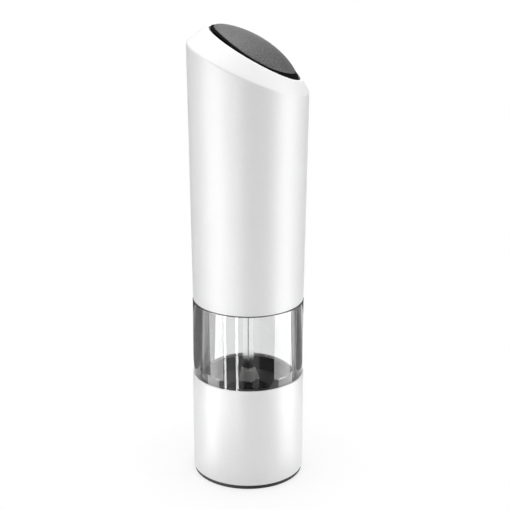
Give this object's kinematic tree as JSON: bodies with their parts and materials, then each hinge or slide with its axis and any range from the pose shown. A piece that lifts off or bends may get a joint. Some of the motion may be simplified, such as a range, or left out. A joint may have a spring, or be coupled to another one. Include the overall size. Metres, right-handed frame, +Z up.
{
  "type": "pepper mill",
  "caption": "Battery pepper mill: white flared body with a slanted bevelled top and a grey push button, clear pepper tank with a square drive shaft, burr grinder in the base.",
  "frame": {"origin": "centre of the foot ring's underside, on the mill's axis", "axes": "+Z up along the mill's axis; the slanted top falls towards +X"},
  "size_m": [0.0553, 0.0554, 0.2182],
  "materials": {
    "white_plastic": "smooth moulded white plastic, satin gloss",
    "clear_plastic": "clear polished plastic",
    "black_plastic": "moulded black plastic, fine grain",
    "grey_pad": "grey soft-touch plastic with a fine grain",
    "foot_rubber": "black rubber",
    "seal_rubber": "black rubber",
    "burr_ceramic": "fired ceramic, matt",
    "hub_plastic": "pale moulded plastic",
    "gear_plastic": "natural moulded plastic",
    "shaft_steel": "drawn bright steel",
    "plated_steel": "plated steel",
    "motor_steel": "drawn plated steel",
    "pinion_brass": "turned brass",
    "cell_wrap": "printed film over steel",
    "board_laminate": "brown laminate"
  },
  "bodies": {
    "base": {"foot_ring": "foot_rubber", "base_sleeve": "white_plastic", "base_plate": "black_plastic", "base_screws": "plated_steel", "pepper_tank": "clear_plastic", "tank_seal": "seal_rubber", "grinder_body": "black_plastic", "outer_burr": "burr_ceramic", "burr_bridge": "black_plastic", "bridge_screws": "plated_steel"},
    "burr_carriage": {"thrust_washer": "plated_steel", "thrust_bush": "plated_steel"},
    "adjust_knob": {"adjust_knob": "black_plastic"},
    "mill_rotor": {"inner_burr": "burr_ceramic", "feed_hub": "hub_plastic", "drive_shaft": "shaft_steel"},
    "drive_unit": {"drive_frame": "black_plastic", "gear_case": "black_plastic", "case_cover": "black_plastic", "case_screws": "plated_steel", "motor_plate": "plated_steel", "motor_can": "motor_steel", "motor_cap": "black_plastic", "motor_terminals": "pinion_brass", "motor_screws": "plated_steel", "battery_cage": "black_plastic", "cage_screws": "plated_steel", "battery_1": "cell_wrap", "battery_2": "cell_wrap", "battery_3": "cell_wrap", "battery_4": "cell_wrap", "battery_5": "cell_wrap", "battery_6": "cell_wrap", "lower_contacts": "plated_steel", "upper_contacts": "plated_steel", "contact_board": "board_laminate", "board_screws": "plated_steel", "switch_body": "black_plastic"},
    "output_carrier": {"output_carrier": "gear_plastic"},
    "stage_carrier": {"stage_carrier": "gear_plastic"},
    "motor_pinion": {"motor_pinion": "pinion_brass"},
    "switch_plunger": {"switch_plunger": "hub_plastic"},
    "upper_housing": {"upper_housing": "white_plastic", "button_well": "black_plastic", "button_spring": "plated_steel"},
    "push_button": {"button_core": "black_plastic", "button_pad": "grey_pad", "button_clip": "plated_steel"},
    "first_planet_1": {"first_planet_1": "gear_plastic"},
    "second_planet_1": {"second_planet_1": "gear_plastic"},
    "first_planet_2": {"first_planet_2": "gear_plastic"},
    "second_planet_2": {"second_planet_2": "gear_plastic"},
    "first_planet_3": {"first_planet_3": "gear_plastic"},
    "second_planet_3": {"second_planet_3": "gear_plastic"}
  },
  "joints": [
    {"name": "burr_lift", "type": "slide", "parent": "base", "child": "burr_carriage", "axis": [0, 0, 1], "range_m": [0, 0.00083333]},
    {"name": "grind_adjust", "type": "hinge", "parent": "burr_carriage", "child": "adjust_knob", "pos_m": [0, 0, 0], "axis": [0, 0, 1], "range_deg": [0, 300]},
    {"name": "burr_spin", "type": "hinge", "parent": "burr_carriage", "child": "mill_rotor", "pos_m": [0, 0, 0], "axis": [0, 0, 1], "continuous": true},
    {"name": "refill_lift", "type": "slide", "parent": "base", "child": "drive_unit", "axis": [0, 0, 1], "range_m": [0, 0.06]},
    {"name": "output_spin", "type": "hinge", "parent": "drive_unit", "child": "output_carrier", "pos_m": [0, 0, 0], "axis": [0, 0, 1], "continuous": true},
    {"name": "stage_spin", "type": "hinge", "parent": "drive_unit", "child": "stage_carrier", "pos_m": [0, 0, 0], "axis": [0, 0, 1], "continuous": true},
    {"name": "motor_spin", "type": "hinge", "parent": "drive_unit", "child": "motor_pinion", "pos_m": [0, 0, 0], "axis": [0, 0, 1], "continuous": true},
    {"name": "second_planet_1_spin", "type": "hinge", "parent": "output_carrier", "child": "second_planet_1", "pos_m": [0.0081, 0, 0], "axis": [0, 0, 1], "continuous": true},
    {"name": "first_planet_1_spin", "type": "hinge", "parent": "stage_carrier", "child": "first_planet_1", "pos_m": [0.0081, 0, 0], "axis": [0, 0, 1], "continuous": true},
    {"name": "second_planet_2_spin", "type": "hinge", "parent": "output_carrier", "child": "second_planet_2", "pos_m": [-0.00405, 0.00701, 0], "axis": [0, 0, 1], "continuous": true},
    {"name": "first_planet_2_spin", "type": "hinge", "parent": "stage_carrier", "child": "first_planet_2", "pos_m": [-0.00405, 0.00701, 0], "axis": [0, 0, 1], "continuous": true},
    {"name": "second_planet_3_spin", "type": "hinge", "parent": "output_carrier", "child": "second_planet_3", "pos_m": [-0.00405, -0.00701, 0], "axis": [0, 0, 1], "continuous": true},
    {"name": "first_planet_3_spin", "type": "hinge", "parent": "stage_carrier", "child": "first_planet_3", "pos_m": [-0.00405, -0.00701, 0], "axis": [0, 0, 1], "continuous": true},
    {"name": "housing_lift", "type": "slide", "parent": "drive_unit", "child": "upper_housing", "axis": [0, 0, 1], "range_m": [0, 0.11]},
    {"name": "button_press", "type": "slide", "parent": "upper_housing", "child": "push_button", "axis": [0, 0, -1], "range_m": [0, 0.0015], "stiffness_N_per_m": 800, "springref_m": -0.002, "deforming": ["button_spring"]},
    {"name": "switch_press", "type": "slide", "parent": "drive_unit", "child": "switch_plunger", "axis": [0, 0, -1], "range_m": [0, 0.0015]}
  ],
  "couplings": [
    {"joint": "grind_adjust", "follows": "burr_lift", "rad_per_m": 6283.2},
    {"joint": "output_spin", "follows": "burr_spin", "ratio": 1},
    {"joint": "stage_spin", "follows": "burr_spin", "ratio": 4.5},
    {"joint": "motor_spin", "follows": "burr_spin", "ratio": 20.25},
    {"joint": "second_planet_1_spin", "follows": "burr_spin", "ratio": -2.8},
    {"joint": "first_planet_1_spin", "follows": "burr_spin", "ratio": -12.6},
    {"joint": "second_planet_2_spin", "follows": "burr_spin", "ratio": -2.8},
    {"joint": "first_planet_2_spin", "follows": "burr_spin", "ratio": -12.6},
    {"joint": "second_planet_3_spin", "follows": "burr_spin", "ratio": -2.8},
    {"joint": "first_planet_3_spin", "follows": "burr_spin", "ratio": -12.6},
    {"joint": "switch_press", "follows": "button_press", "ratio": 1}
  ]
}
